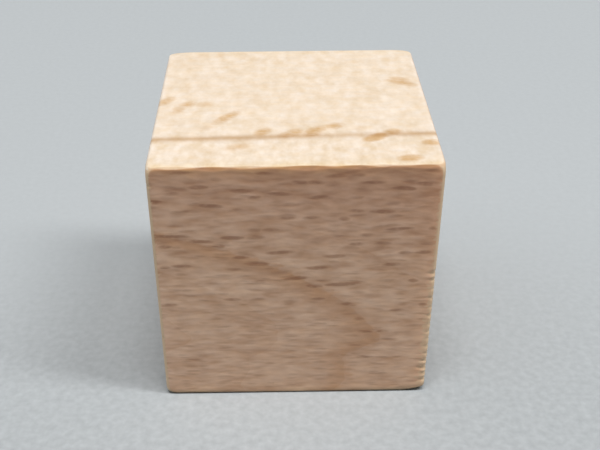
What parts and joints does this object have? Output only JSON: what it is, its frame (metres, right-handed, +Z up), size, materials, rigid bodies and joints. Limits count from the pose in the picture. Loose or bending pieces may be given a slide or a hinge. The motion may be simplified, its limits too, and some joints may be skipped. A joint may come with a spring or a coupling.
{
  "type": "wooden cube",
  "caption": "Plain solid beech cube with lightly eased edges, a small craft, counting or spacer block that rests on any face.",
  "frame": {"origin": "centre of the underside, at the level the cube rests on", "axes": "+Z up; -Y is the front face; the grain of the wood runs along X, so +X and -X are the end-grain faces"},
  "size_m": [0.03, 0.03, 0.03],
  "materials": {
    "beech": "matte"
  },
  "bodies": {
    "root": {"cube": "beech"}
  },
  "joints": []
}
